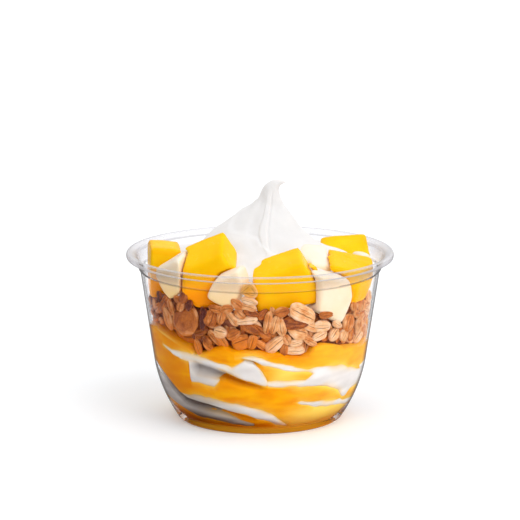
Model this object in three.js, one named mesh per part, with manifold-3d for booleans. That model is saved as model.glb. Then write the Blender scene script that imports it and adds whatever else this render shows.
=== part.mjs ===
// A soft serve cup: a clear plastic dessert cup filled with soft serve and mango sauce, a layer of granola,
// chunks of mango and banana, and a soft serve peak.
// Millimetres, +Z up. The origin is the middle of the cup's base, on the surface that it stands on.
// Angles round the cup run from the front, which faces -Y, towards +X, in degrees.
import * as THREE from "three";
import { ConvexGeometry } from "three/addons/geometries/ConvexGeometry.js";
import { mergeVertices } from "three/addons/utils/BufferGeometryUtils.js";
import Module from "manifold-3d";

const wasm = await Module();
wasm.setup();

// Driving dimensions of the cup
const WALL = 0.8;
const RIM_R = 54;
const RIM_Z = 68;
const LIP_WIDTH = 3.6;
const LIP_DEPTH = 2.8;
const LIP_ROUND = 1.4;
const LIP_DROP = 0.4;
const NECK_R = 50.5;
const BODY_R = 48.4;
const BODY_Z = 60.6;
const STEP = 0.6;
const BOWL_R = 42.9;
const BOWL_Z = 24;
const BOWL_DRAFT = 2;
const BASE_R = 33.4;
const FOOT_R = 32.4;
const FOOT_WIDTH = 1.9;
const FOOT_CHAMFER = 0.7;
const RECESS = 0.5;
const FLOOR_Z = 1.3;
const FLOOR_R = 27;
const INNER_BEND_R = 38.5;
const INNER_BEND_Z = 9.5;
const CUP_SIDES = 40;
const CURVE_STEPS = 3;

// Driving dimensions of the filling
const GAP = 0.3;
const FOOD_SIDES = 26;
const ROOM_TOP_Z = 100;
const BLOCK = 400;
const SAUCE_DEPTH = 6;
const CORE_FLOOR_Z = 4.6;
const CORE_TOP_Z = 33;
const CORE_SHOULDER = 4;
const SAUCE_TOP_Z = 37;
const SAUCE_TILT_DEG = 3.4;
const RIDGE_STEPS = 4;
const RIDGE_ROOT = 1.2;
const GRANOLA_TOP_Z = 50.7;
const GRANOLA_INSET = 3;
// One oat flake, how far apart flakes lie round the wall, and how much they vary, tip, stray and bob
const FLAKE = { length: 10.5, width: 6.2, thickness: 2.8, sides: 5, rings: 3 };
const FLAKE_PITCH = 12.6;
const FLAKE_VARY = 0.18;
const FLAKE_TIP = 0.4;
const FLAKE_STRAY = 0.3;
const FLAKE_BOB = 1.5;
const FLAKE_ROWS = [2.8, 6.8, 10.6, 13.6];
const FLAKE_SIZES = [1, 0.75, 0.5, 0.36];
// A cluster that climbs between two chunks at the front: angle and height over the sauce
const CLUSTER = [[-8, 15], [-7, 17], [-6.5, 19], [-6, 21], [-5, 22.6]];
const FLAKE_SEED = 7;
const CHAMFER = 1.6;
const CLEAR_ABOVE = 12;

// Ridges of soft serve that press through the sauce against the wall. Each one runs through three points of
// angle, height and half-thickness, and the same set, turned half round, repeats at the back.
const RIDGES = [
  [[-63, 35, 0.4], [-30, 29.4, 2.1], [4, 22.2, 1.4]],
  [[-42, 25, 1.4], [-31, 23.2, 2.4], [-20, 21.4, 0.6]],
  [[-14, 33.4, 0.6], [30, 27.2, 1.3], [70, 21.6, 3.2]],
  [[4, 22, 0.5], [44, 22.2, 3.1], [75, 17.6, 3.6]],
  [[18, 14.6, 0.4], [44, 11, 1.1], [64, 11, 0.9]],
  [[-92, 25.5, 2.2], [-40, 14.2, 1.9], [25, 2.6, 0.6]],
  [[-92, 11.2, 1.4], [-50, 8.3, 1.7], [-8, 5, 0.8]],
];

// Fruit chunks: size across, inwards and up to the middle of the top, angle and radius of the middle, height
// of the underside, turn away from facing outwards, and the rise of the top across and inwards. A chunk may
// lean to the side, and a buried one lies under the soft serve. Each trim takes off a long edge: its side, -1
// left or 1 right, its end, -1 bottom or 1 top, and how much across and up.
const FRUIT = {
  mango_3: {
    size: [28.5, 15, 18.4], angle: 19.4, radius: 32, under: 50.6, turn: -11.4, rise: [6, 4.5],
    trims: [[-1, -1, 1.5, 13], [1, -1, 22, 4], [1, 1, 8.8, 13.5]],
  },
  banana_1: {
    size: [13.6, 16, 14.4], angle: -55, radius: 44, under: 53.5, turn: 40, rise: [8, 2],
    trims: [[-1, -1, 7.5, 8], [1, -1, 5.5, 4]],
  },
  banana_2: {
    size: [12, 10, 13], angle: -22, radius: 41, under: 54.4, turn: 8, rise: [8.5, 2], lean: 25,
    trims: [[1, 1, 5, 4.5]],
  },
  banana_3: {
    size: [18, 11, 20.5], angle: 42, radius: 41, under: 44.5, turn: 2, rise: [-3, 2],
    trims: [[-1, -1, 12, 6.5], [1, -1, 4.5, 8.5], [1, 1, 2.5, 7]],
  },
  banana_4: { size: [13.5, 15, 13], angle: 51, radius: 27, under: 57, turn: -39, rise: [-1, 6] },
  banana_5: { size: [8, 6.5, 15.5], angle: 88, radius: 41, under: 52, turn: 30, rise: [0, 1] },
  banana_6: { size: [18, 12, 9.5], angle: 180, radius: 40, under: 51, turn: 6, rise: [1, 1], buried: true },
  banana_7: { size: [15, 12, 9.5], angle: -118, radius: 40, under: 51, turn: -8, rise: [0, 1], buried: true },
  banana_8: { size: [16, 12, 9.5], angle: 126, radius: 40, under: 51, turn: 8, rise: [1, 1], buried: true },
  mango_1: {
    size: [19, 12.5, 20.5], angle: -84, radius: 38.7, under: 51.2, turn: 0, rise: [-1, -1],
    trims: [[-1, 1, 5, 2]],
  },
  mango_2: {
    size: [21, 15, 21.7], angle: -34.8, radius: 34.7, under: 52, turn: 31.8, rise: [6.6, 7],
    trims: [[-1, -1, 5.5, 5], [1, 1, 5.5, 8]],
  },
  mango_4: { size: [17, 19, 16.6], angle: 103, radius: 35.6, under: 51.2, turn: -7, rise: [7, -1] },
  mango_5: {
    size: [20, 17, 15.5], angle: 63.7, radius: 40.5, under: 51.5, turn: -53.7, rise: [-4.2, 4.5],
    trims: [[1, -1, 5, 8]],
  },
  mango_6: { size: [9, 9, 14], angle: 34, radius: 34, under: 54, turn: -10, rise: [-3.5, 2] },
  mango_7: { size: [20, 14, 9.5], angle: 152, radius: 39, under: 51, turn: -6, rise: [-1, 1], buried: true },
  mango_8: { size: [21, 14, 9.5], angle: -150, radius: 39, under: 51, turn: 7, rise: [1, 1], buried: true },
};

// Section of the soft serve on top, as radius and height from its underside to the tip
const TOP_SECTION = [
  [0, 51], [36, 51], [38.5, 54], [39, 57], [46, 58.8], [46, 60.4], [43, 61.6], [38, 62.5], [33, 65.6],
  [28, 68.4], [23, 71.2], [20.4, 74.4], [17.8, 77.4], [12.8, 80.4], [9.8, 83], [8.2, 86], [6.4, 89],
  [4.6, 91.6], [2.8, 94], [1.3, 95.7], [0, 96.3],
];
const SKIRT_R = 36;
const PEAK_FOOT_Z = 70;
const PEAK_TIP_Z = 96.3;
const PEAK_LEAN = 8;
const PEAK_SWAY = 1;
const PEAK_FOLDS = 3;
const PEAK_FOLD_DEPTH = 0.13;
const PEAK_TWIST_DEG = 150;

// Plain colours, set by eye
const CLEAR = new THREE.MeshStandardMaterial({ color: 0xf4f6f7, roughness: 0.06, opacity: 0.3 });
CLEAR.transparent = true;
const CREAM = new THREE.MeshStandardMaterial({ color: 0xfbf8f2, roughness: 0.45 });
const SAUCE = new THREE.MeshStandardMaterial({ color: 0xf59a05, roughness: 0.15 });
const OATS = new THREE.MeshStandardMaterial({ color: 0xb9773c, roughness: 0.7 });
const MANGO = new THREE.MeshStandardMaterial({ color: 0xfcc00c, roughness: 0.25 });
const BANANA = new THREE.MeshStandardMaterial({ color: 0xfaeed2, roughness: 0.45 });

const radians = THREE.MathUtils.degToRad;

// A point at an angle round the cup
function around(angleDeg, radius, z) {
  const a = radians(angleDeg);
  return new THREE.Vector3(radius * Math.sin(a), -radius * Math.cos(a), z);
}

// A closed geometry as a solid for joining and cutting
function solidOf(geometry) {
  const bare = geometry.clone();
  bare.deleteAttribute("normal");
  bare.deleteAttribute("uv");
  const merged = mergeVertices(bare, 1e-4);
  return new wasm.Manifold(
    new wasm.Mesh({
      numProp: 3,
      vertProperties: new Float32Array(merged.attributes.position.array),
      triVerts: new Uint32Array(merged.index.array),
    }),
  );
}

function geometryOf(solid) {
  const { vertProperties, triVerts } = solid.getMesh();
  const geometry = new THREE.BufferGeometry();
  geometry.setAttribute("position", new THREE.BufferAttribute(vertProperties, 3));
  geometry.setIndex(new THREE.BufferAttribute(triVerts, 1));
  return geometry;
}

const joined = (solids) => solids.reduce((all, next) => all.add(next));

// The largest body of a solid, without the scraps that a cut can leave
function largest(solid) {
  const bodies = solid.decompose().sort((a, b) => b.volume() - a.volume());
  return bodies[0];
}

// A solid with its sealed hollows filled
function filled(solid) {
  const block = solidOf(new THREE.BoxGeometry(BLOCK, BLOCK, BLOCK));
  const [, ...hollows] = block.subtract(solid).decompose().sort((a, b) => b.volume() - a.volume());
  return joined([solid, ...hollows]);
}

// A geometry with each vertex moved by a function
function shaped(geometry, move) {
  const position = geometry.attributes.position;
  const point = new THREE.Vector3();
  for (let i = 0; i < position.count; i++) {
    point.fromBufferAttribute(position, i);
    const moved = move(point);
    position.setXYZ(i, moved.x, moved.y, moved.z);
  }
  return geometry;
}

// A section of [radius, height] points turned about the Z axis
function turned(section, sides) {
  const points = section.map(([r, z]) => new THREE.Vector2(r, z));
  return new THREE.LatheGeometry(points, sides).rotateX(Math.PI / 2);
}

// The cup's inner line from the floor to the foot of the neck
function innerLine() {
  const line = new THREE.Path();
  line.moveTo(FLOOR_R, FLOOR_Z);
  line.quadraticCurveTo(INNER_BEND_R, INNER_BEND_Z, BOWL_R - WALL, BOWL_Z);
  line.lineTo(BODY_R - WALL, BODY_Z);
  return line.getPoints(CURVE_STEPS).map((p) => [p.x, p.y]);
}

const INNER = innerLine();

function wallRadius(z) {
  const upper = INNER.findIndex(([, height]) => height >= z);
  if (upper < 0) return BODY_R - WALL;
  if (upper === 0) return FLOOR_R;
  const [r0, z0] = INNER[upper - 1];
  const [r1, z1] = INNER[upper];
  return r0 + ((r1 - r0) * (z - z0)) / (z1 - z0);
}

// The space inside the cup, a gap clear of its wall and going on straight up past the rim
function room(gap) {
  const side = INNER.map(([r, z]) => [r - gap, z + gap]);
  const top = side[side.length - 1][0];
  return solidOf(turned([[0, FLOOR_Z + gap], ...side, [top, ROOM_TOP_Z], [0, ROOM_TOP_Z]], FOOD_SIDES));
}

function cup() {
  const outer = new THREE.Path();
  outer.moveTo(0, RECESS);
  outer.lineTo(FOOT_R - FOOT_WIDTH - RECESS, RECESS);
  outer.lineTo(FOOT_R - FOOT_WIDTH, 0);
  outer.lineTo(FOOT_R, 0);
  outer.lineTo(BASE_R, FOOT_CHAMFER);
  outer.quadraticCurveTo(BOWL_R - BOWL_DRAFT, BOWL_Z / 2, BOWL_R, BOWL_Z);
  outer.lineTo(BODY_R, BODY_Z);
  outer.lineTo(BODY_R + STEP, BODY_Z + STEP);
  outer.lineTo(NECK_R, RIM_Z - LIP_DEPTH);
  outer.lineTo(RIM_R - LIP_ROUND, RIM_Z - LIP_DEPTH);
  outer.quadraticCurveTo(RIM_R, RIM_Z - LIP_DEPTH, RIM_R, RIM_Z - LIP_DEPTH / 2);
  outer.quadraticCurveTo(RIM_R, RIM_Z, RIM_R - LIP_ROUND, RIM_Z);
  outer.lineTo(RIM_R - LIP_WIDTH, RIM_Z - LIP_DROP);
  outer.lineTo(NECK_R - WALL, RIM_Z - LIP_DEPTH);
  outer.lineTo(BODY_R + STEP - WALL, BODY_Z + STEP);
  const section = outer.getPoints(CURVE_STEPS).map((p) => [p.x, p.y]);
  return turned([...section, ...INNER.toReversed(), [0, FLOOR_Z]], CUP_SIDES);
}

// Everything under a plane that drops towards +X through a height on the axis
function under(z) {
  const box = new THREE.BoxGeometry(BLOCK, BLOCK, BLOCK).translate(0, 0, -BLOCK / 2);
  return solidOf(box.rotateY(radians(SAUCE_TILT_DEG)).translate(0, 0, z));
}

const saucePlane = (x) => SAUCE_TOP_Z - x * Math.tan(radians(SAUCE_TILT_DEG));

// A ridge of soft serve as a bent bar: its length follows the wall, its root widens into the core
function ridge(points, turnDeg, grow) {
  const line = new THREE.CatmullRomCurve3(points.map((p) => new THREE.Vector3(...p)));
  return solidOf(
    shaped(new THREE.BoxGeometry(1, 1, 1, RIDGE_STEPS, 1, 1), ({ x, y, z }) => {
      const at = line.getPoint(x + 0.5);
      const outward = 0.5 - y;
      const half = at.z + grow + RIDGE_ROOT * (1 - outward);
      const height = at.y + 2 * z * half;
      const reach = SAUCE_DEPTH / 2 + RIDGE_ROOT + grow;
      const radius = wallRadius(at.y) - SAUCE_DEPTH / 2 - 2 * y * reach;
      const past = Math.trunc(2 * x) * grow;
      return around(at.x + turnDeg + past, radius, height);
    }),
  );
}

// The ridges at the front, and the same ones at the back
function ridges(grow) {
  const all = [0, 180].flatMap((turn) => RIDGES.map((points) => ridge(points, turn, grow)));
  return joined(all);
}

// The soft serve inside the sauce, without its ridges
function core(grow) {
  const heights = [CORE_FLOOR_Z, BOWL_Z / 2, BOWL_Z, CORE_TOP_Z - CORE_SHOULDER];
  const side = heights.map((z) => [wallRadius(z) - SAUCE_DEPTH + grow, z]);
  const low = CORE_FLOOR_Z - grow;
  const high = CORE_TOP_Z + grow;
  const foot = side[0][0] - CORE_SHOULDER;
  const shoulder = side[side.length - 1][0] - CORE_SHOULDER;
  return solidOf(turned([[0, low], [foot, low], ...side, [shoulder, high], [0, high]], FOOD_SIDES));
}

// A block with cut corners, trimmed edges and a sloping top, facing outwards from the cup's axis
function chunk(facts, grow, taller) {
  const { size, angle, radius, under: base, turn, rise, lean = 0, trims = [] } = facts;
  const [across, inward, up] = size;
  const points = [];
  for (const sx of [-1, 1])
    for (const sy of [-1, 1])
      for (const sz of [-1, 1]) {
        const slope = (sx * rise[0] + sy * rise[1]) / 2;
        const height = sz > 0 ? up + slope + grow + taller : -grow;
        const corner = new THREE.Vector3(sx * (across / 2 + grow), sy * (inward / 2 + grow), height);
        const trim = trims.find(([side, end]) => side === sx && end === sz);
        const [acrossCut, upCut] = trim ? trim.slice(2) : [CHAMFER, CHAMFER];
        points.push(corner.clone().setX(corner.x - sx * acrossCut));
        points.push(corner.clone().setZ(corner.z - sz * upCut));
        if (!trim) points.push(corner.clone().setY(corner.y - sy * CHAMFER));
      }
  const geometry = new ConvexGeometry(points);
  geometry.rotateY(radians(lean));
  geometry.rotateZ(radians(angle + turn));
  const place = around(angle, radius, base);
  return solidOf(geometry.translate(place.x, place.y, place.z));
}

// Each chunk is pressed flat by the wall and by the chunks before it.
function fruit(inside) {
  const made = new Map();
  const taken = [];
  for (const [name, facts] of Object.entries(FRUIT)) {
    const solid = chunk(facts, 0, 0).intersect(inside);
    made.set(name, taken.length ? largest(solid.subtract(joined(taken))) : solid);
    taken.push(chunk(facts, GAP, 0));
  }
  return { made, taken: joined(taken) };
}

// The soft serve on top: a mound whose folds twist up into a leaning tip. The chunks that aren't buried stand
// clear of it.
function topping(inside) {
  const mound = shaped(turned(TOP_SECTION, FOOD_SIDES), ({ x, y, z }) => {
    const climb = THREE.MathUtils.clamp((z - PEAK_FOOT_Z) / (PEAK_TIP_Z - PEAK_FOOT_Z), 0, 1);
    const angle = Math.atan2(x, -y);
    const fold = Math.cos(PEAK_FOLDS * angle - radians(PEAK_TWIST_DEG) * climb);
    const swell = 1 + PEAK_FOLD_DEPTH * fold * Math.sin(Math.PI * Math.sqrt(climb));
    const lean = PEAK_LEAN * climb ** 2 - PEAK_SWAY * Math.sin(Math.PI * climb);
    const reach = SKIRT_R + (BODY_R - SKIRT_R) * THREE.MathUtils.smoothstep(y, -SKIRT_R / 2, SKIRT_R / 2);
    const hold = Math.min(1, reach / Math.max(Math.hypot(x, y), 1));
    return new THREE.Vector3(x * swell * hold + lean, y * swell * hold, z);
  });
  const clear = Object.values(FRUIT).map((facts) => chunk(facts, GAP, facts.buried ? 0 : CLEAR_ABOVE));
  return largest(solidOf(mound).intersect(inside).subtract(joined(clear)));
}

// One oat flake, flat against the wall, then lifted clear of the sauce and drawn in clear of the wall
function flake(angleDeg, lift, size, draw) {
  const scatter = () => draw() * 2 - 1;
  const length = FLAKE.length * (1 + FLAKE_VARY * scatter());
  const width = FLAKE.width * (1 + FLAKE_VARY * scatter());
  const ball = new THREE.SphereGeometry(size / 2, FLAKE.sides, FLAKE.rings);
  const geometry = ball.scale(length, FLAKE.thickness, width);
  geometry.rotateX(FLAKE_TIP * scatter());
  geometry.rotateZ(FLAKE_TIP * scatter());
  geometry.rotateY(Math.PI * draw());
  geometry.rotateZ(radians(angleDeg));
  const start = around(angleDeg, BODY_R, 0);
  geometry.translate(start.x, start.y, saucePlane(start.x) + lift);
  const position = geometry.attributes.position;
  let over = -Infinity;
  let low = Infinity;
  for (let i = 0; i < position.count; i++) {
    const [x, y, z] = [position.getX(i), position.getY(i), position.getZ(i)];
    over = Math.max(over, Math.hypot(x, y) - wallRadius(z));
    low = Math.min(low, z - saucePlane(x));
  }
  const move = around(angleDeg, -(over + GAP), Math.max(0, 2 * GAP - low));
  return solidOf(geometry.translate(move.x, move.y, move.z));
}

// A heap of flakes on a smaller core. A flake that would cross fruit or soft serve shrinks or is left out.
function granola(blocked) {
  const side = INNER.filter(([, z]) => z > BOWL_Z - 1).map(([r, z]) => [r - GRANOLA_INSET, z]);
  const disc = solidOf(turned([[0, BOWL_Z], ...side, [0, BODY_Z]], FOOD_SIDES));
  const lid = solidOf(new THREE.BoxGeometry(BLOCK, BLOCK, BLOCK).translate(0, 0, GRANOLA_TOP_Z - BLOCK / 2));
  let heap = disc.intersect(lid).subtract(under(SAUCE_TOP_Z + GAP)).subtract(blocked);
  THREE.MathUtils.seededRandom(FLAKE_SEED);
  const draw = () => THREE.MathUtils.seededRandom();
  const add = (angle, lift) => {
    const fits = FLAKE_SIZES.map((size) => flake(angle, lift, size, draw));
    const piece = fits.find((each) => each.intersect(blocked).isEmpty());
    if (piece) heap = heap.add(piece);
  };
  const count = Math.floor((2 * Math.PI * BODY_R) / FLAKE_PITCH);
  for (let i = 0; i < count * FLAKE_ROWS.length; i++) {
    const row = Math.floor(i / count);
    const angle = (360 * (i + 0.5 * row + FLAKE_STRAY * (draw() - 0.5))) / count;
    add(angle, FLAKE_ROWS[row] + FLAKE_BOB * (draw() - 0.5));
  }
  for (const [angle, lift] of CLUSTER) add(angle, lift);
  return filled(largest(heap));
}

const inside = room(GAP);
const { made: chunks, taken } = fruit(inside);
const top = topping(inside);
const blocked = taken.add(top);
const lower = inside.intersect(under(SAUCE_TOP_Z));
const cream = filled(largest(core(0).add(ridges(0)).intersect(lower)));
const sauce = largest(lower.subtract(core(GAP)).subtract(ridges(GAP)));

const softServeCup = new THREE.Group();

function place(name, geometry, material) {
  const mesh = new THREE.Mesh(geometry, material);
  mesh.name = name;
  softServeCup.add(mesh);
}

place("cup", cup(), CLEAR);
place("soft_serve_base", geometryOf(cream), CREAM);
place("mango_sauce", geometryOf(sauce), SAUCE);
place("granola", geometryOf(granola(blocked)), OATS);
for (const [name, solid] of chunks) place(name, geometryOf(solid), name.startsWith("mango") ? MANGO : BANANA);
place("soft_serve_top", geometryOf(top), CREAM);

export default softServeCup;
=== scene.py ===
# A soft serve cup: the dressed pieces, their materials, the studio and the camera.
# Lengths are millimetres until a mesh is made, which is in metres. Angles round the cup are degrees from
# the front, which faces -Y, towards +X.
import math

import bpy
import numpy as np
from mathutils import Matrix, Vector
from mathutils.bvhtree import BVHTree


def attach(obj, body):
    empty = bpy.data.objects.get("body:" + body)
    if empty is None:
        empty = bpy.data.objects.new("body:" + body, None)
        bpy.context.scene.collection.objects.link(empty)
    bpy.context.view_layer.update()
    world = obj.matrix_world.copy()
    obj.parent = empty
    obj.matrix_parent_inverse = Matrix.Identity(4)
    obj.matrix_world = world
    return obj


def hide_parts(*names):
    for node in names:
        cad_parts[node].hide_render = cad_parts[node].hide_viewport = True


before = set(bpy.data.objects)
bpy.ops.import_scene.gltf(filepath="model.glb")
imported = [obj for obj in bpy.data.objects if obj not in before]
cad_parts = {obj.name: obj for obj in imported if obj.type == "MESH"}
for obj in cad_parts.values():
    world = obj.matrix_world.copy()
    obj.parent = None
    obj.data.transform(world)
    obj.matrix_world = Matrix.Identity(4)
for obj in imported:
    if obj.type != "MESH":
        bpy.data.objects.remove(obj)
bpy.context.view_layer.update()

MM = 0.001

# The cup, as the frame has it
WALL = 0.8
RIM_R, RIM_Z = 54.0, 68.0
LIP_WIDTH, LIP_DEPTH, LIP_ROUND, LIP_DROP = 3.6, 2.8, 1.4, 0.4
LIP_R, LIP_Z = RIM_R - LIP_ROUND, RIM_Z - LIP_DEPTH
NECK_R = 50.5
BODY_R, BODY_Z, STEP = 48.4, 60.6, 0.6
BOWL_R, BOWL_Z, BOWL_DRAFT = 42.9, 24.0, 2.0
BASE_R, FOOT_R, FOOT_WIDTH, FOOT_CHAMFER = 33.4, 32.4, 1.9, 0.7
RECESS = 0.5
FLOOR_Z, FLOOR_R = 1.3, 27.0
INNER_BEND_R, INNER_BEND_Z = 38.5, 9.5
CUP_SIDES, CURVE_STEPS, CUP_SHARP = 320, 14, 24
# Painted dark lines along the moulded edges, for the light bent there: length, strength on the lip, and how
# near a point counts as on an edge
EDGE_LINE, LIP_LINE, NEAR = 0.4, 0.9, 0.1
# How high the foot's painted reflection of the sauce reaches, and how far it fades
FOOT_TINT_Z, FOOT_FADE = 3.2, 1.2
WALL_LEAN = (BODY_R - BOWL_R) / (BODY_Z - BOWL_Z)

# The filling under the granola
INTO_WALL = 0.12
SAUCE_MID_Z, CREAM_MID_Z = 37.0, 33.0
CREAM_LIFT, CREAM_BELOW, CREAM_TOP_Z = 1.2, 0.6, 36.0
GRID_COLUMNS, GRID_ROWS, WALL_STEPS = 640, 112, 400
# How sauce and soft serve dip under each other at their edges, and how uneven they are
EDGE_SLOPE, EDGE_DIP, FLOW = 1.3, 3.0, 0.07

# Streaks of soft serve against the wall: angle, upper edge, lower edge
STREAKS = [
    [(-62, 34.1, 34), (-53, 33.2, 31), (-43, 33.5, 29.7), (-36, 33.1, 29.2), (-28, 32, 28.9), (-22, 31, 28),
     (-15, 29.4, 26.2), (-12.5, 30.8, 25.2), (-8, 32.6, 23.8), (-4, 31.2, 23), (0, 28.8, 22.1),
     (3, 25.3, 21.8), (4.6, 22.6, 22.4)],
    [(-13, 33.5, 33.4), (-8, 34.1, 33.2), (-2, 34.2, 32.2), (1, 33.7, 31), (6, 31.9, 29.8), (13, 30.5, 28),
     (19, 29.2, 27.4), (27, 28.2, 26.4), (31, 28.2, 25.7)],
    [(4, 23.8, 21.7), (9, 24.2, 21.4), (20, 23.9, 21), (25, 23.8, 20.7), (27.5, 24.6, 20.6),
     (30, 25.9, 20.4), (31, 28.3, 20.4), (40, 28.1, 19.1), (47, 27.3, 17.7), (53, 26.3, 15.5),
     (60, 24.8, 12.4), (63, 24, 12), (66, 23.4, 14.8), (75, 21.6, 15.6), (90, 18.5, 14.5), (104, 16, 15.6)],
    [(20, 14, 13.9), (25, 13.9, 12.8), (31, 13.4, 11.7), (38, 12.8, 10.6), (47, 12.2, 9.7), (54, 11.8, 9.3),
     (65, 10.8, 8.2), (75, 10, 7.2), (88, 9, 7.5), (98, 8.4, 8.2)],
    [(-41, 25.8, 21.1), (-35, 25.4, 21), (-29, 25.4, 20.6), (-26, 25.1, 20.2), (-24, 24.8, 21.4),
     (-22, 24, 23.4)],
    [(-41, 31.5, 23.5), (-30, 30.5, 23.5), (-24, 29.6, 23.6), (-19, 27.6, 26)],
    [(-58, 15, 13.6), (-54, 14.6, 12.2), (-51, 14.8, 12), (-44, 15.1, 12), (-37, 15.6, 11.4),
     (-31, 15.4, 10.9), (-25, 14.2, 10.6), (-19, 14, 9.6), (-13, 13.5, 9), (-8, 12.4, 8.2), (-3, 11.6, 7.4),
     (2, 10.8, 6.6), (7, 9.6, 5.4), (12, 6.8, 3.8), (17, 4.7, 3), (21, 2.8, 2.5)],
    [(-118, 20, 19.8), (-104, 22.6, 16), (-90, 23, 11.5), (-75, 21.5, 9.3), (-69, 19.6, 8.4),
     (-63, 15.5, 7.6), (-57, 11.6, 6.1), (-49, 10, 5.1), (-40, 9.6, 4.8), (-29, 9.3, 4.3), (-24, 8.4, 3.8),
     (-15, 5.9, 2.9), (-8, 4.7, 2.7), (-4, 3.6, 3.4)],
    [(-110, 24, 23.6), (-96, 25, 18), (-77, 24.2, 17), (-70, 22.4, 15), (-64, 20, 12), (-59, 17, 10),
     (-55, 14.6, 9.5), (-44, 13, 9), (-36, 12, 9), (-28, 11.2, 8.8), (-25, 9.8, 9.2)],
]

# Hollows that the wall doesn't touch: angle, height, half-width and depth
HOLLOWS = [
    [(-41, 27.8, 1.8, 1.8), (-36, 27.6, 2.2, 2.8), (-28, 26.9, 2, 2.8), (-20, 25.6, 1.6, 2.4),
     (-10, 22.9, 1.2, 2), (0, 21, 0.9, 1.3), (5, 20.4, 0.6, 0.5)],
    [(-95, 23.4, 1, 0.8), (-77, 22.6, 1, 1.6), (-69, 20.6, 1.1, 2.4), (-64, 18.4, 1.2, 3),
     (-59, 15.6, 1.3, 3.4), (-55, 12.6, 1.4, 3.6), (-48, 11.2, 1.3, 3.8), (-40, 10.8, 1.2, 3.6),
     (-32, 10.4, 1.1, 3), (-26, 9.8, 1, 2.4), (-16, 7.9, 1, 1.6), (-6, 6.4, 0.8, 1), (0, 5.6, 0.5, 0.3)],
    [(-12, 33, 0.5, 0.7), (-4, 31.9, 0.7, 1.4), (2, 29.8, 0.5, 0.7)],
]
HOLLOW_FADE = 5.0

# Where the sauce meets the granola at the wall: angle, height
SAUCE_LINE = [
    (-91.5, 37.6), (-84, 40), (-68, 41.4), (-57.6, 39.8), (-51, 38.5), (-45, 37.1), (-40, 36.4),
    (-36.5, 33.6), (-31, 34.4), (-27, 36.2), (-19, 38.4), (-15, 36.9), (-2, 36.2), (10, 35.3), (15, 34.2),
    (22, 33.4), (26, 34.2), (29.5, 37.4), (36, 37.4), (43, 36.3), (52, 34.4), (69, 33), (80, 34),
    (91.5, 37.6),
]

# Painted shade on the lower left, and painted light that pales the sauce on the right: the angles between
# which each rises and falls, the height it lies below, the height over which it fades in, and its strength
ANY_HEIGHT = (99, 1)
LEFT_PAINTED_SHADE = [(-5, 50, 86, 112, 28, 15, 0.55), (-20, 10, 86, 112, 11, 7, 0.5)]
LEFT_SAUCE_PAINTED_SHADE = [(25, 55, 86, 112, *ANY_HEIGHT, 0.3)]
RIGHT_SAUCE_PAINTED_LIGHT = [(5, 55, 70, 100, *ANY_HEIGHT, 0.3), (8, 30, 70, 100, 14, 6, 0.65)]
# Colour on the screen's scale, and painted glow that lightens the shade, of the lower and the upper soft
# serve
BASE_SHADE, BASE_PAINTED_GLOW = (236, 231, 228), 0.0
TOP_SHADE, TOP_PAINTED_GLOW = (186, 185, 185), 0.38


def spread(seed, count, wavelength):
    """A smooth, seeded unevenness of about -1 to 1 over space."""
    draw = np.random.default_rng(seed)
    way = draw.normal(size=(count, 3))
    way /= np.linalg.norm(way, axis=1, keepdims=True)
    way *= 2 * math.pi / (wavelength * draw.uniform(0.7, 1.5, (count, 1)))
    phase = draw.uniform(0, 2 * math.pi, count)

    def at(points):
        return np.sin(points @ way.T + phase).sum(-1) / math.sqrt(count)

    return at


def bend(a, b, c, steps):
    """Points on a curve from a to c that heads for b, without a itself."""
    t = np.linspace(0, 1, steps + 1)[1:, None]
    a, b, c = (np.array(p, float) for p in (a, b, c))
    return (1 - t) ** 2 * a + 2 * t * (1 - t) * b + t**2 * c


def step_up(t):
    """From 0 to 1 as t goes there, eased at both ends."""
    t = np.clip(t, 0, 1)
    return t * t * (3 - 2 * t)


def spot(across, up, size):
    """1 in the middle of a soft spot, falling off over its half-width and half-height."""
    return np.exp(-((across / size[0]) ** 2) - (up / size[1]) ** 2)


INNER_BOWL = np.vstack([
    [(FLOOR_R, FLOOR_Z)],
    bend((FLOOR_R, FLOOR_Z), (INNER_BEND_R, INNER_BEND_Z), (BOWL_R - WALL, BOWL_Z), 3 * CURVE_STEPS),
])
INNER = np.vstack([INNER_BOWL, [(BODY_R - WALL, BODY_Z)]])


def wall_radius(z):
    return np.interp(z, INNER[:, 1], INNER[:, 0])


def around(angle, radius, z):
    a = np.radians(angle)
    return np.stack(np.broadcast_arrays(radius * np.sin(a), -radius * np.cos(a), z), -1)


def linked(name, data):
    made = bpy.data.objects.new(name, data)
    bpy.context.collection.objects.link(made)
    return made


def mesh_object(name, points, faces):
    mesh = bpy.data.meshes.new(name)
    mesh.from_pydata((np.asarray(points, float).reshape(-1, 3) * MM).tolist(), [], faces)
    mesh.validate()
    mesh.update()
    return linked(name, mesh)


def smooth(made, sharp_deg=None):
    made.data.shade_smooth()
    if sharp_deg is not None:
        made.data.set_sharp_from_angle(angle=math.radians(sharp_deg))
    return made


def dress(made, look, slot, *nodes):
    """Gives a piece its material and its body, and hides the nodes that it stands for. The slot is not used.
    """
    made.data.materials.clear()
    made.data.materials.append(look)
    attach(made, "root")
    if nodes:
        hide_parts(*nodes)
    return made


def paint(made, name, values):
    """A number for each vertex, for the material to read."""
    layer = made.data.attributes.new(name, "FLOAT", "POINT")
    layer.data.foreach_set("value", np.asarray(values, np.float32).ravel())


def modify(made, kind, **settings):
    added = made.modifiers.new(kind, kind)
    for name, value in settings.items():
        setattr(added, name, value)


def modified(made):
    """The piece with its modifiers applied."""
    dg = bpy.context.evaluated_depsgraph_get()
    mesh = bpy.data.meshes.new_from_object(made.evaluated_get(dg))
    made.modifiers.clear()
    made.data = mesh
    return made


def read(data, field):
    numbers = np.empty(len(data) * 3, np.float32)
    data.foreach_get(field, numbers)
    return numbers.reshape(-1, 3).astype(float)


def places(made):
    return read(made.data.vertices, "co") / MM


def put(made, points):
    made.data.vertices.foreach_set("co", (np.asarray(points) * MM).astype(np.float32).ravel())
    made.data.update()


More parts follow.
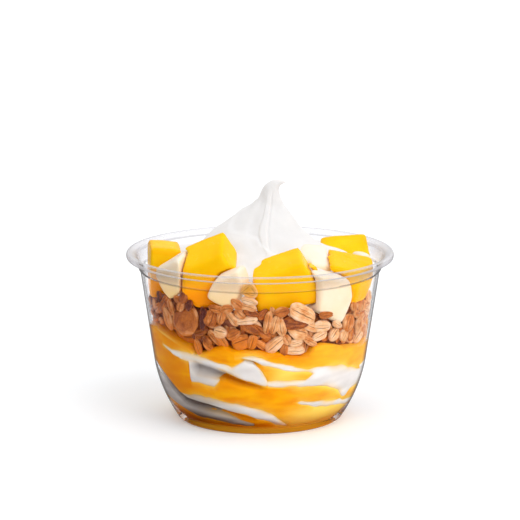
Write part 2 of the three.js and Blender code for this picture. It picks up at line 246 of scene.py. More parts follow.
def ring_faces(rows, columns, closed_ends=True):
    """Faces of a grid closed round its columns, with a fan to a single point at each end."""
    faces = []
    for i in range(rows - 1):
        for j in range(columns):
            k = (j + 1) % columns
            faces.append((i * columns + j, i * columns + k, (i + 1) * columns + k, (i + 1) * columns + j))
    if closed_ends:
        first, last = rows * columns, rows * columns + 1
        for j in range(columns):
            k = (j + 1) % columns
            faces.append((first, k, j))
            faces.append((last, (rows - 1) * columns + j, (rows - 1) * columns + k))
    return faces


# The range that most of a noise's values lie in
NOISE_RANGE = (0.3, 0.7)


class Shader:
    """The nodes of a material or the world, made one at a time."""

    def __init__(self, owner):
        owner.use_nodes = True
        self.owner = owner
        self.nodes = owner.node_tree.nodes
        self.link = owner.node_tree.links.new
        self.main = next(n for n in self.nodes if n.type in ("BSDF_PRINCIPLED", "BACKGROUND"))
        self.out = next(n for n in self.nodes if n.type.startswith("OUTPUT"))

    def set(self, **values):
        for name, value in values.items():
            self.main.inputs[name.replace("_", " ")].default_value = value

    def node(self, kind, **inputs):
        made = self.nodes.new("ShaderNode" + kind)
        for name, value in inputs.items():
            self.feed(made.inputs[name.replace("_", " ")], value)
        return made

    def feed(self, socket, value):
        if isinstance(value, bpy.types.NodeSocket):
            self.link(value, socket)
        else:
            socket.default_value = value

    def where(self):
        return self.node("TexCoord").outputs["Object"]

    def up(self):
        """How far the surface faces up, -1 to 1."""
        return self.node("SeparateXYZ", Vector=self.node("NewGeometry").outputs["Normal"]).outputs["Z"]

    def value(self, name):
        made = self.node("Attribute")
        made.attribute_name = name
        return made.outputs["Fac"]

    def noise(self, scale, detail=3.0, roughness=0.5, vector=None):
        return self.node(
            "TexNoise", Vector=vector or self.where(), Scale=scale, Detail=detail, Roughness=roughness
        ).outputs["Fac"]

    def math(self, operation, a, b=0.0):
        made = self.nodes.new("ShaderNodeMath")
        made.operation = operation
        self.feed(made.inputs[0], a)
        self.feed(made.inputs[1], b)
        return made.outputs[0]

    def times(self, a, b):
        return self.math("MULTIPLY", a, b)

    def fit(self, value, low, high, to_low=0.0, to_high=1.0):
        return self.node(
            "MapRange", Value=value, From_Min=low, From_Max=high, To_Min=to_low, To_Max=to_high
        ).outputs["Result"]

    def mix(self, factor, a, b):
        made = self.nodes.new("ShaderNodeMix")
        made.data_type = "RGBA"
        for place, value in ((0, factor), (6, a), (7, b)):
            self.feed(made.inputs[place], value)
        return made.outputs[2]

    def blend(self, factor, a, b):
        """A shader that goes from a to b."""
        made = self.node("MixShader", Fac=factor)
        self.link(a.outputs[0], made.inputs[1])
        self.link(b.outputs[0], made.inputs[2])
        return made

    def bump(self, height, strength, distance):
        made = self.node("Bump", Height=height, Strength=strength, Distance=distance)
        self.link(made.outputs["Normal"], self.main.inputs["Normal"])

    def colour(self, socket):
        self.link(socket, self.main.inputs["Base Color"])

    def scatter(self, weight, radius, depth, ior, shine):
        """How light scatters inside, to a depth in metres, and how much the surface shines."""
        self.set(Subsurface_Weight=weight, Subsurface_Radius=radius, Subsurface_Scale=depth, IOR=ior,
                 Specular_IOR_Level=shine)

    def rough(self, noise, low, high):
        """A roughness from low to high over the range that most of a noise lies in."""
        self.link(self.fit(noise, *NOISE_RANGE, low, high), self.main.inputs["Roughness"])


def material(name):
    return Shader(bpy.data.materials.new(name))


def srgb(r, g, b):
    """A colour on the screen's scale of 0 to 255 as the shader takes it."""
    return (*(((c / 255 + 0.055) / 1.055) ** 2.4 if c > 10 else c / 255 / 12.92 for c in (r, g, b)), 1.0)


# How the plastic tints what is seen through it; its outline, moulded lines and lip seen aslant are painted
# darker for the light bent and reflected there
BODY_TINT, NECK_TINT = (0.97, 0.965, 0.97, 1), (0.985, 0.98, 0.985, 1)
LIP_TINT, LIP_ASLANT_TINT = (0.98, 0.975, 0.98, 1), (0.86, 0.85, 0.87, 1)
OUTLINE_TINT, LINE_TINT = (0.06, 0.05, 0.05, 1), (0.36, 0.33, 0.34, 1)
SHADOW_TINT = (0.96, 0.96, 0.96, 1)
# The index is far below real plastic's, so that the wall doesn't magnify the food
PLASTIC_IOR = 1.07
# The lip's cover, painted sheen with some real gloss: a dull part, and a shiny part and its share
LIP_DULL, LIP_SHINE, SHINE_SHARE = (0.95, 0.94, 0.95, 1), (0.65, 0.64, 0.65, 1), 0.4


def plastic_tint(s, body, foot, facing):
    """The plastic's colour, with painted dark lines along its outline and its moulded edges."""
    outline = s.times(s.fit(facing, 0.75, 0.87), s.fit(body, 0.0, 1.0, 0.32, 1.0))
    outline = s.times(outline, s.fit(foot, 0.0, 0.5, 1.0, 0.0))
    lip = s.mix(s.fit(facing, 0.2, 0.7), LIP_TINT, LIP_ASLANT_TINT)
    upper = s.mix(s.value("lip"), NECK_TINT, lip)
    wall = s.mix(outline, s.mix(body, upper, BODY_TINT), OUTLINE_TINT)
    return s.mix(s.value("edge"), wall, LINE_TINT)


def covered_lip(s, tint, facing):
    """Plastic that lets light straight through, under a thin pale cover of painted sheen that stands for its
    gloss.
    """
    straight = s.node("BsdfTransparent", Color=tint)
    dull = s.node("BsdfDiffuse", Color=LIP_DULL)
    shine = s.node("BsdfGlossy", Color=LIP_SHINE, Roughness=0.25)
    # Painted sheen, stronger aslant and on faces turned up
    cover = s.math("ADD", s.fit(facing, 0.35, 0.9, 0.01, 0.38), s.fit(s.up(), 0.35, 0.8, 0.0, 0.3))
    return s.blend(cover, straight, s.blend(SHINE_SHARE, dull, shine))


def clear_plastic():
    """Thin clear plastic, with a covered lip and neck, and a foot painted in the sauce's colour as a painted
    reflection of it.
    """
    s = material("clear_plastic")
    s.set(Transmission_Weight=1.0, IOR=PLASTIC_IOR)
    body, foot = s.value("body"), s.value("foot")
    facing = s.node("LayerWeight", Blend=0.5).outputs["Facing"]
    tint = plastic_tint(s, body, foot, facing)
    s.colour(tint)
    s.rough(s.noise(180.0), 0.01, 0.035)
    whole = s.blend(body, covered_lip(s, tint, facing), s.main)
    # Painted reflection: the foot in the sauce's colour, fading towards its outline
    sauce = s.node("BsdfDiffuse", Color=srgb(255, 174, 44))
    painted_sauce_reflection = s.times(foot, s.fit(facing, 0.5, 0.9, 0.95, 0.0))
    whole = s.blend(painted_sauce_reflection, whole, sauce)
    shadow = s.node("BsdfTransparent", Color=SHADOW_TINT)
    lit = s.blend(s.node("LightPath").outputs["Is Shadow Ray"], whole, shadow)
    s.link(lit.outputs[0], s.out.inputs["Surface"])
    return s.owner


def soft_serve(name, shade, glow, stain_and_painted_shade=False):
    """Soft serve, with a painted glow of its own that lightens its shade, for the light that real soft serve
    scatters inside.
    """
    s = material(name)
    lump = s.noise(140.0, 4.0)
    plain = s.mix(s.fit(lump, 0.35, 0.7), srgb(*(c - 6 for c in shade)), srgb(*shade))
    if stain_and_painted_shade:
        plain = s.mix(s.value("stain"), plain, srgb(255, 204, 96))
        # Painted shade: darker in hollows, in folds and on the lower left
        plain = s.mix(s.value("painted_shade"), plain, srgb(104, 88, 80))
    s.colour(plain)
    s.rough(s.noise(420.0), 0.38, 0.55)
    s.scatter(0.4, (1.0, 0.9, 0.8), depth=0.003, ior=1.4, shine=0.1)
    s.set(Emission_Color=(1.0, 0.97, 0.95, 1), Emission_Strength=glow)
    grain = s.math("ADD", s.noise(260.0, 3.0), s.times(s.noise(1100.0, 2.0), 0.25))
    s.bump(grain, 0.22, 0.0006)
    return s.owner


def mango_sauce():
    s = material("mango_sauce")
    flow = s.node("Mapping", Vector=s.where(), Scale=(1.0, 1.0, 3.2))
    band = s.noise(70.0, 5.0, 0.6, flow.outputs[0])
    deep = s.mix(s.fit(band, 0.36, 0.64), srgb(235, 134, 0), srgb(252, 173, 10))
    # Paler where the sauce is thin over soft serve, and where light is painted on it
    thin_and_painted_light = s.mix(s.value("thin_and_painted_light"), deep, srgb(255, 214, 96))
    # Painted shade: darker in hollows and on the lower left
    s.colour(s.mix(s.value("painted_shade"), thin_and_painted_light, srgb(182, 96, 0)))
    s.rough(s.noise(300.0), 0.1, 0.22)
    s.scatter(0.15, (1.0, 0.45, 0.08), depth=0.003, ior=1.42, shine=0.04)
    s.bump(band, 0.25, 0.0008)
    return s.owner


def mango():
    s = material("mango")
    # Painted light: faces turned up and the upper part are yellower than the sides
    up = s.fit(s.up(), 0.1, 0.75)
    high = s.fit(s.node("SeparateXYZ", Vector=s.where()).outputs["Z"], 0.05, 0.063, 0.0, 0.9)
    patch = s.fit(s.noise(95.0, 3.0), 0.35, 0.7)
    side = s.mix(patch, srgb(255, 174, 0), srgb(255, 198, 8))
    top = s.mix(patch, srgb(255, 193, 0), srgb(255, 206, 20))
    flesh = s.mix(s.math("MAXIMUM", up, high), side, top)
    # Deeper orange low down on some chunks and towards the edges
    deeper = s.math("MAXIMUM", s.value("deeper"), s.times(s.value("rim"), 0.4))
    s.colour(s.mix(deeper, flesh, srgb(255, 152, 0)))
    s.rough(s.noise(340.0), 0.16, 0.3)
    s.scatter(0.2, (1.0, 0.55, 0.1), depth=0.004, ior=1.4, shine=0.08)
    s.bump(s.noise(160.0, 3.0), 0.06, 0.0008)
    return s.owner


def banana():
    s = material("banana")
    patch = s.noise(110.0, 4.0)
    paler = s.fit(patch, 0.34, 0.72)
    side = s.mix(paler, srgb(246, 220, 184), srgb(250, 230, 204))
    top = s.mix(paler, srgb(248, 229, 206), srgb(250, 237, 222))
    # Painted light: faces turned up are paler than the sides
    flesh = s.mix(s.fit(s.up(), 0.1, 0.75), side, top)
    # Deeper colour low down on some chunks and towards the edges
    deeper = s.math("MAXIMUM", s.value("deeper"), s.times(s.value("rim"), 0.2))
    s.colour(s.mix(deeper, flesh, srgb(252, 210, 138)))
    s.rough(s.noise(380.0), 0.36, 0.52)
    s.scatter(0.25, (1.0, 0.8, 0.45), depth=0.004, ior=1.4, shine=0.3)
    s.bump(s.math("ADD", s.noise(600.0, 4.0, 0.6), patch), 0.1, 0.0006)
    return s.owner


# How a flake's colour runs with its toasting, from pale to burnt
TOASTING = [
    (0.0, (252, 214, 178)), (0.3, (237, 179, 124)), (0.55, (206, 119, 50)), (0.8, (158, 80, 30)),
    (1.0, (88, 34, 26)),
]


def oats():
    """Toasted flakes, mottled, with a crease along each darkened by painted shade, rims paler with painted
    light, and sauce soaked in from below.
    """
    s = material("granola_flake")
    along, across, tone = s.value("along"), s.value("across"), s.value("tone")
    lines = s.node("CombineXYZ", X=along, Y=across, Z=tone)
    grain = s.node("Mapping", Vector=lines.outputs[0], Scale=(1.1, 5.0, 31.0))
    streak = s.noise(1.5, 3.0, 0.5, grain.outputs[0])
    bowed = s.times(s.times(along, along), s.value("bow"))
    off = s.math("ADD", s.math("SUBTRACT", across, s.value("crease")), bowed)
    second = s.fit(s.math("ABSOLUTE", s.math("SUBTRACT", off, 0.5)), 0.07, 0.02, 0.0, 0.45)
    crease = s.math("MAXIMUM", second, s.fit(s.math("ABSOLUTE", off), 0.08, 0.02))
    crease = s.times(crease, s.fit(s.math("ABSOLUTE", along), 0.95, 0.6))
    mottle = s.noise(330.0, 4.0, 0.6)
    shade = s.math("ADD", tone, s.fit(mottle, 0.3, 0.7, -0.18, 0.18))
    shade = s.math("ADD", shade, s.fit(streak, 0.35, 0.75, -0.05, 0.2))
    # Painted light: paler towards the rims
    shade = s.math("SUBTRACT", shade, s.fit(s.math("ABSOLUTE", across), 0.7, 0.95, 0.0, 0.16))
    ramp = s.node("ValToRGB", Fac=shade)
    stops = ramp.color_ramp.elements
    for place, _ in TOASTING[1:-1]:
        stops.new(place)
    for stop, (_, shown) in zip(stops, TOASTING):
        stop.color = srgb(*shown)
    soaked = s.mix(s.value("soak"), ramp.outputs["Color"], srgb(232, 126, 16))
    soaked = s.mix(s.value("juice"), soaked, srgb(255, 180, 44))
    # Painted shade along the crease lines
    s.colour(s.mix(s.times(crease, 0.75), soaked, srgb(104, 48, 22)))
    s.rough(streak, 0.26, 0.42)
    s.scatter(0.1, (1.0, 0.6, 0.3), depth=0.001, ior=1.45, shine=0.26)
    s.bump(s.math("SUBTRACT", s.math("ADD", streak, mottle), crease), 0.45, 0.0005)
    return s.owner


# Crumbs of the granola's core, painted dark so that the gaps between the flakes read as shade
def crumb_dark_as_shade():
    s = material("granola_crumb_dark_as_shade")
    s.colour(s.mix(s.fit(s.noise(240.0, 4.0), 0.35, 0.65), srgb(92, 42, 18), srgb(160, 82, 36)))
    s.rough(s.noise(500.0), 0.5, 0.75)
    s.bump(s.noise(500.0, 4.0), 0.6, 0.001)
    return s.owner


# The clear cup
def cup_section():
    foot = FOOT_R - FOOT_WIDTH
    middle = RIM_Z - LIP_DEPTH / 2
    line = EDGE_LINE
    rows = [
        [(foot - RECESS, RECESS), (foot, 0), (FOOT_R, 0), (BASE_R, FOOT_CHAMFER)],
        bend((BASE_R, FOOT_CHAMFER), (BOWL_R - BOWL_DRAFT, BOWL_Z / 2), (BOWL_R, BOWL_Z), CURVE_STEPS),
        [(BODY_R - n * line * WALL_LEAN, BODY_Z - n * line) for n in (2, 1, 0)],
        [(BODY_R + STEP, BODY_Z + STEP), (NECK_R, LIP_Z), (NECK_R + line, LIP_Z)],
        [(LIP_R - line, LIP_Z), (LIP_R, LIP_Z)],
        bend((LIP_R, LIP_Z), (RIM_R, LIP_Z), (RIM_R, middle), CURVE_STEPS // 2),
        bend((RIM_R, middle), (RIM_R, RIM_Z), (LIP_R, RIM_Z), CURVE_STEPS // 2),
        bend((LIP_R, RIM_Z), (RIM_R - LIP_WIDTH, RIM_Z - LIP_DROP), (NECK_R - WALL, LIP_Z), CURVE_STEPS),
        [(BODY_R + STEP - WALL, BODY_Z + STEP)],
        INNER[::-1],
    ]
    return np.vstack([np.array(r, float) for r in rows])


def make_cup():
    section = cup_section()
    angle = np.arange(CUP_SIDES) * 360 / CUP_SIDES
    points = around(angle[None, :], section[:, :1], section[:, 1:]).reshape(-1, 3)
    points = np.vstack([points, [(0, 0, RECESS), (0, 0, FLOOR_Z)]])
    made = mesh_object("clear_cup", points, ring_faces(len(section), CUP_SIDES))
    corners = [(BODY_R, BODY_Z, 1.0), (LIP_R, LIP_Z, LIP_LINE), (LIP_R, RIM_Z, LIP_LINE)]
    edge = np.zeros(len(section))
    for r, z, strength in corners:
        edge += strength * (np.hypot(section[:, 0] - r, section[:, 1] - z) < NEAR)
    paint(made, "edge", np.append(np.repeat(edge, CUP_SIDES), [0, 0]))
    paint(made, "body", points[:, 2] < BODY_Z + NEAR)
    paint(made, "lip", points[:, 2] > LIP_Z - NEAR)
    paint(made, "foot", step_up((FOOT_TINT_Z - points[:, 2]) / FOOT_FADE))
    return dress(smooth(made, CUP_SHARP), clear_plastic(), "clear_plastic", "cup")


# The soft serve and sauce under the granola
def track(rows, angle):
    """The columns of a table of angles, read at any angle, and whether the angle is on the table."""
    at, *columns = np.array(rows, float).T
    return [np.interp(angle, at, c) for c in columns], (angle >= at[0]) & (angle <= at[-1])


def both_sides(angle):
    """The angle as the front's tables have it, and as the same tables, turned half round for the back, do."""
    return [(angle + turn + 180) % 360 - 180 for turn in (0, 180)]


def cream_reach(angle, z):
    """How far inside a streak of soft serve a place on the wall lies; negative outside."""
    far_outside = -9.0
    best = np.full(np.broadcast(angle, z).shape, far_outside)
    for a in both_sides(angle):
        for rows in STREAKS:
            (upper, lower), on = track(rows, a)
            best = np.where(on, np.maximum(best, np.minimum(upper - z, z - lower)), best)
    return best


def hollow(angle, z):
    """How far back from the wall a hollow takes the filling."""
    deep = np.zeros(np.broadcast(angle, z).shape)
    for a in both_sides(angle):
        for rows in HOLLOWS:
            (middle, half, depth), on = track(rows, a)
            ends = np.clip(np.minimum(a - rows[0][0], rows[-1][0] - a) / HOLLOW_FADE, 0, 1)
            here = depth * ends * np.exp(-(((z - middle) / half) ** 2))
            deep = np.where(on, np.maximum(deep, here), deep)
    return deep


def sauce_line(angle):
    """The height where the sauce meets the granola at the wall."""
    front, back = both_sides(angle)
    turned = np.where(np.abs(front) <= SAUCE_LINE[-1][0], front, back)
    return np.interp(turned, *np.array(SAUCE_LINE, float).T)


# The wall's inner line by its length from the edge of the floor: radius, height and the way out
LINE_S = np.concatenate([[0], np.cumsum(np.hypot(*np.diff(INNER, axis=0).T))])
WALL_FINE = np.linspace(0, LINE_S[-1], WALL_STEPS)
WALL_R, WALL_H = (np.interp(WALL_FINE, LINE_S, INNER[:, i]) for i in (0, 1))
WALL_LINES = [WALL_R, WALL_H, np.gradient(WALL_H, WALL_FINE), -np.gradient(WALL_R, WALL_FINE)]


def wall_layer(offset, top):
    """The angles, heights and points of a grid on the inner wall, moved outwards by a function of both."""
    angle = np.arange(GRID_COLUMNS) * 360 / GRID_COLUMNS - 180
    run = np.linspace(0, 1, GRID_ROWS)[:, None] * np.interp(top(angle), WALL_H, WALL_FINE)[None, :]
    r, z, out_r, out_z = (np.interp(run, WALL_FINE, line) for line in WALL_LINES)
    size = np.hypot(out_r, out_z)
    angle = np.broadcast_to(angle, r.shape)
    move = offset(angle, z)
    return angle, z, around(angle, r + move * out_r / size, z + move * out_z / size)


ragged = spread(3, 24, 9.0)
ragged_fine = spread(4, 24, 3.2)
streaky = spread(5, 24, 14.0)


def uneven_reach(angle, z):
    coarse, fine = 0.3, 0.09
    where = around(angle, wall_radius(z), z)
    return cream_reach(angle, z) + coarse * ragged(where) + fine * ragged_fine(where)


def streaks(angle, z, stretch):
    """Level streaks along the wall, the flatter the more heights are stretched."""
    return streaky(around(angle, wall_radius(z), stretch * z))


def swell(depth, height, length):
    return height * (1 - np.exp(-np.maximum(depth, 0) / length))


def cream_offset(angle, z):
    inside = uneven_reach(angle, z)
    out = swell(inside, height=0.42, length=1.0) - np.clip(-EDGE_SLOPE * inside, 0, EDGE_DIP)
    return INTO_WALL + out + FLOW * streaks(angle, z, stretch=3.0) - hollow(angle, z)


def sauce_offset(angle, z):
    inside = uneven_reach(angle, z)
    out = swell(-inside, height=0.3, length=1.2) - np.clip(EDGE_SLOPE * inside, 0, EDGE_DIP)
    rounding, set_back = 1.6, 1.4
    top = np.clip((z - sauce_line(angle) + rounding) / rounding, 0, 1)
    out = out - set_back * top * top
    return INTO_WALL + out + FLOW * streaks(angle, z, stretch=3.0) - hollow(angle, z)


def closed_layer(name, points, low, high):
    """A grid closed to a solid by a point on the axis below it and one above."""
    rows, columns = points.shape[:2]
    flat = np.vstack([points.reshape(-1, 3), [(0, 0, low), (0, 0, high)]])
    return smooth(mesh_object(name, flat, ring_faces(rows, columns)))


def paint_layer(made, name, values):
    """A number for each point of a closed layer's grid, and 0 for the two on its axis."""
    paint(made, name, np.append(np.clip(values, 0, 1).ravel(), [0, 0]))


def rise_and_fall(angle, low, high, start, end):
    """0 before the angles low to high, 1 after them and 0 again after start to end, at front and back."""
    rise, fall = high - low, end - start
    return sum(step_up((a - low) / rise) * step_up((end - a) / fall) for a in both_sides(angle))


def graded(rows, angle, z):
    """The sum of a table's painted shade and light at a place on the wall."""
    return sum(strength * rise_and_fall(angle, *span) * step_up((below - z) / over)
               for *span, below, over, strength in rows)


def blending(angle, z):
    """How far sauce and soft serve mix: 1 on their edge, crisp here, blurred there."""
    crisp, blurred = 0.2, 0.9
    blur = crisp + blurred * step_up(0.4 + 0.6 * streaks(angle, z, stretch=1.5))
    return np.exp(-np.abs(uneven_reach(angle, z)) / blur)


def cream_top(angle):
    return np.minimum(sauce_line(angle) - CREAM_BELOW, CREAM_TOP_Z)


def make_lower_soft_serve():
    angle, z, points = wall_layer(cream_offset, cream_top)
    made = closed_layer("soft_serve_base_swirl", points, FLOOR_Z + CREAM_LIFT, CREAM_MID_Z)
    # Painted shade in the hollows, in the folds of the flow and on the lower left
    most_stain, hollow_painted_shade, fold_painted_shade = 0.8, 0.25, 0.07
    painted_fold_shade = fold_painted_shade * (1 + streaks(angle, z, stretch=4.0))
    paint_layer(made, "painted_shade", hollow_painted_shade * hollow(angle, z) + graded(LEFT_PAINTED_SHADE, -angle, z) + painted_fold_shade)
    paint_layer(made, "stain", most_stain * blending(angle, z))
    look = soft_serve("soft_serve_base", BASE_SHADE, BASE_PAINTED_GLOW, stain_and_painted_shade=True)
    dress(made, look, "soft_serve", "soft_serve_base")


def make_sauce():
    angle, z, points = wall_layer(sauce_offset, sauce_line)
    made = closed_layer("mango_sauce_swirl", points, FLOOR_Z - INTO_WALL, SAUCE_MID_Z)
    most_thin, hollow_painted_shade, shade_share = 0.75, 0.5, 0.5
    pale_most, pale_angle, pale_z, pale_size = 0.8, 13, 26.6, (7, 2.6)
    pale = pale_most * spot(angle - pale_angle, z - pale_z, pale_size)
    # A painted highlight just under the sauce's upper edge
    gleam_angle, gleam_below, gleam_size = -58, 1.2, (10, 0.4)
    painted_gleam = spot(angle - gleam_angle, sauce_line(angle) - z - gleam_below, gleam_size)
    paint_layer(made, "thin_and_painted_light", most_thin * blending(angle, z) + pale + painted_gleam + graded(RIGHT_SAUCE_PAINTED_LIGHT, angle, z))
    # Painted shade on the lower left
    shade = shade_share * graded(LEFT_PAINTED_SHADE, -angle, z) + graded(LEFT_SAUCE_PAINTED_SHADE, -angle, z)
    paint_layer(made, "painted_shade", hollow_painted_shade * hollow(angle, z) + shade)
    dress(made, mango_sauce(), "mango_sauce", "mango_sauce")


# The fruit: rounds of wear, and how much deeper the colour of a chunk's lower half is, where it is deeper
# than the rest
WEAR = {"mango": 44, "banana": 100}
DEEPER_LOW = {"mango_1": 0.8, "mango_2": 1.0, "mango_5": 0.4, "banana_1": 0.9, "banana_2": 0.6}


def rounded(node, name, rounds, seed):
    """A node's block with worn edges and slightly uneven cut faces."""
    face_size, uneven, waves, wavelength = 0.5, 0.07, 16, 8.0
    made = linked(name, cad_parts[node].data.copy())
    modify(made, "REMESH", mode="VOXEL", voxel_size=face_size * MM)
    modify(made, "SHRINKWRAP", target=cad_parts[node], wrap_method="NEAREST_SURFACEPOINT")
    modify(made, "SMOOTH", factor=0.5, iterations=rounds)
    modified(made)
    points = places(made)
    move = uneven * spread(seed, waves, wavelength)(points)
    put(made, points + read(made.data.vertex_normals, "vector") * move[:, None])
    return smooth(made)


def near_edges(points):
    """How near the edges of its block each point lies, 0 to 1."""
    start = 0.55
    low, high = points.min(0), points.max(0)
    off = np.abs((points - (low + high) / 2) / ((high - low) / 2))
    return np.clip((np.sort(off, 1)[:, 1] - start) / (1 - start), 0, 1)


def make_fruit():
    first_seed, deeper_below, deeper_fade = 40, 67, 10
    stuff = {"mango": mango(), "banana": banana()}
    chunks = sorted(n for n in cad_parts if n.split("_")[0] in stuff and n[-1].isdigit())
    made = []
    for count, node in enumerate(chunks):
        kind = node.split("_")[0]
        block = rounded(node, node + "_chunk", WEAR[kind], first_seed + count)
        points = places(block)
        paint(block, "rim", near_edges(points))
        paint(block, "deeper", DEEPER_LOW.get(node, 0) * np.clip((deeper_below - points[:, 2]) / deeper_fade, 0, 1))
        made.append(dress(block, stuff[kind], kind, node))
    return made


# The soft serve on top. Rings from the underside to the tip: middle x and z, radius, tilt towards +X
PEAK = [
    (0, 51, 36, 0), (0, 54, 38.5, 0), (0, 57, 39, 0), (0, 58.8, 46, 0), (0, 60.4, 46, 0), (0, 61.6, 43, 0),
    (0, 62.5, 38, 0), (0, 65.6, 33, 0), (0, 68.4, 28, 0), (0, 71.2, 23.6, 0), (-0.4, 74.4, 20.4, 0),
    (-0.2, 77.4, 17, 0), (1, 80.4, 13.8, 0), (2.2, 83.6, 10.4, 2), (3.1, 85.6, 8.2, 4), (3.6, 87.3, 6.6, 8),
    (4.1, 89, 5.4, 12), (4.4, 91.2, 4.3, 20), (5, 93.2, 3.4, 32), (6.2, 94.9, 2.3, 52), (7.8, 95.8, 1.3, 72),
    (9.2, 96, 0.7, 86), (10.2, 95.9, 0.2, 92),
]
# The petal on its front by height: left edge and right crease from the rings' middle, bulge, how far it shows
PETAL_LEFT = ([70, 71.5, 75.5, 78.5, 80.5, 83, 88.5, 92], [3.7, 2.1, 0.35, -1, -1.5, -1.3, -1.8, -1.9])
PETAL_RIGHT = ([70, 76, 80, 85, 90], [4.4, 4.2, 2.8, 1.5, 0.6])
PETAL_BULGE = ([70, 72, 76, 80, 88, 93], [0, 0.6, 1.4, 1.6, 1, 0])
PETAL_SHOWN = ([70, 74, 90, 94], [0, 1, 1, 0])
# The winding fold: its edge's height by angle, and how far it shows by height
HELIX = ([-180, -90, -60, -43, -21, -2, 10, 40, 180], [94, 83.4, 79.6, 78.2, 78, 76.3, 71.8, 67, 62])
HELIX_SHOWN = ([64, 70, 88, 93], [0, 1, 1, 0])
PEAK_COLUMNS, PEAK_STEPS, PEAK_SHARP = 360, 9, 50
TIP_R, CURVE_PULL = 0.05, 0.4
# The mound's reach at the front, and its gap to the wall at the back
SKIRT_R, SKIRT_CLEAR = 36.0, 0.2
# Lumps and climb lie above this height
TOP_FACE_Z = 60.3


def curve_through(rows, steps):
    """A smooth curve through rows of numbers."""
    rows = np.array(rows, float)
    padded = np.vstack([2 * rows[0] - rows[1], rows, 2 * rows[-1] - rows[-2]])
    t = np.linspace(0, 1, steps, endpoint=False)[:, None]
    parts = []
    for i in range(len(rows) - 1):
        a, b, c, d = padded[i:i + 4]
        m, n = CURVE_PULL * (c - a), CURVE_PULL * (d - b)
        parts.append((2 * t**3 - 3 * t**2 + 1) * b + (t**3 - 2 * t**2 + t) * m
                     + (-2 * t**3 + 3 * t**2) * c + (t**3 - t**2) * n)
    return np.vstack([*parts, rows[-1:]])


def with_folds(angle, z, r):
    """The rings' radius with a petal on the front, a crease and a scoop beside it, and the edge of the fold
    that winds up from the mound."""
    least, left_edge, right_edge, span = 0.3, 0.2, 0.3, 100
    crease_depth, crease_width = 0.5, 0.4
    scoop_off, scoop_depth, scoop_width = 3.2, 0.9, 2.4
    fold_depth, fold_edge, fold_least_r = 1.3, 1.2, 6
    arc = np.radians(angle) * r
    left = np.interp(z, *PETAL_LEFT)
    right = np.interp(z, *PETAL_RIGHT)
    share = (arc - left) / np.maximum(right - left, least)
    edges = step_up(share / left_edge) * step_up((1 - share) / right_edge)
    petal = np.interp(z, *PETAL_BULGE) * edges
    shown = np.interp(z, *PETAL_SHOWN)
    crease = -crease_depth * shown * np.exp(-(((arc - right) / crease_width) ** 2))
    scoop = -scoop_depth * shown * np.exp(-(((arc - left + scoop_off) / scoop_width) ** 2))
    front = np.where(np.abs(angle) < span, petal + crease + scoop, 0)
    edge = step_up((np.interp(angle, *HELIX) - z) / fold_edge + 0.5)
    fold = fold_depth * (edge - 0.5 + angle / 360) * np.interp(z, *HELIX_SHOWN)
    return r + front + fold * np.clip(r / fold_least_r, 0, 1)


def skirt_reach(angle, y):
    """How far out the mound reaches: further at the back, but cut back behind the chunk on the right."""
    start, end, fade, back = 78, 128, 10, 4.5
    cut = back * step_up((angle - start) / fade) * step_up((end - angle) / fade)
    return SKIRT_R + (BODY_R - SKIRT_R) * step_up((y + SKIRT_R / 2) / SKIRT_R) - cut


def hold_within(points, reach):
    """Draws points in towards the axis where they are further out than a radius."""
    out = np.maximum(np.hypot(points[..., 0], points[..., 1]), 1)
    points[..., :2] *= np.minimum(1, reach / out)[..., None]


def lumps(points, r):
    """Broad lumps low down, and fine ones that fade out where the rings are thin."""
    broad, broad_height, below, fade = spread(11, 20, 17.0), 0.6, 72, 10
    fine, fine_height, least_r = spread(12, 20, 7.0), 0.16, 5
    low = np.clip((below - points[..., 2]) / fade, 0, 1)
    thick = np.clip(r / least_r, 0, 1)
    return broad(points) * broad_height * low + fine(points) * fine_height * thick


def climb(angle, points):
    """How far the mound climbs the wall, which it does at both sides."""
    most, start, start_fade, end, end_fade = 3.0, 75, 30, 155, 25
    least_out, out_fade = 26, 12
    side = np.abs(angle)
    beside = step_up((side - start) / start_fade) * step_up((end - side) / end_fade)
    out = np.hypot(points[..., 0], points[..., 1])
    return most * beside * step_up((out - least_out) / out_fade)


def peak_points():
    """The mound's rings of points, from the underside to the tip."""
    rings = curve_through(PEAK, PEAK_STEPS)
    turn = np.arange(PEAK_COLUMNS)[None, :] * 360 / PEAK_COLUMNS
    angle = (turn + 180) % 360 - 180
    x0, z0, r, tilt = (rings[:, i][:, None] for i in range(4))
    r = with_folds(angle, z0, np.maximum(r, TIP_R))
    a, t = np.radians(turn), np.radians(tilt)
    x = x0 + r * np.sin(a) * np.cos(t)
    y = -r * np.cos(a) * np.ones_like(t)
    z = z0 - r * np.sin(a) * np.sin(t)
    points = np.stack([x, y, z], -1)
    hold_within(points, skirt_reach(angle, y))
    raised = lumps(points, r) + climb(angle, points)
    points[..., 2] += np.where(points[..., 2] > TOP_FACE_Z, raised, 0)
    hold_within(points, wall_radius(points[..., 2]) - SKIRT_CLEAR)
    return points


def make_top(fruit):
    points = peak_points()
    flat = np.vstack([points.reshape(-1, 3), [(0, 0, PEAK[0][1]), points[-1].mean(0)]])
    made = mesh_object("soft_serve_peak", flat, ring_faces(len(points), PEAK_COLUMNS))
    for block in fruit:
        modify(made, "BOOLEAN", operation="DIFFERENCE", solver="MANIFOLD", object=block)
    modified(made)
    look = soft_serve("soft_serve_top", TOP_SHADE, TOP_PAINTED_GLOW)
    return dress(smooth(made, PEAK_SHARP), look, "soft_serve", "soft_serve_top")


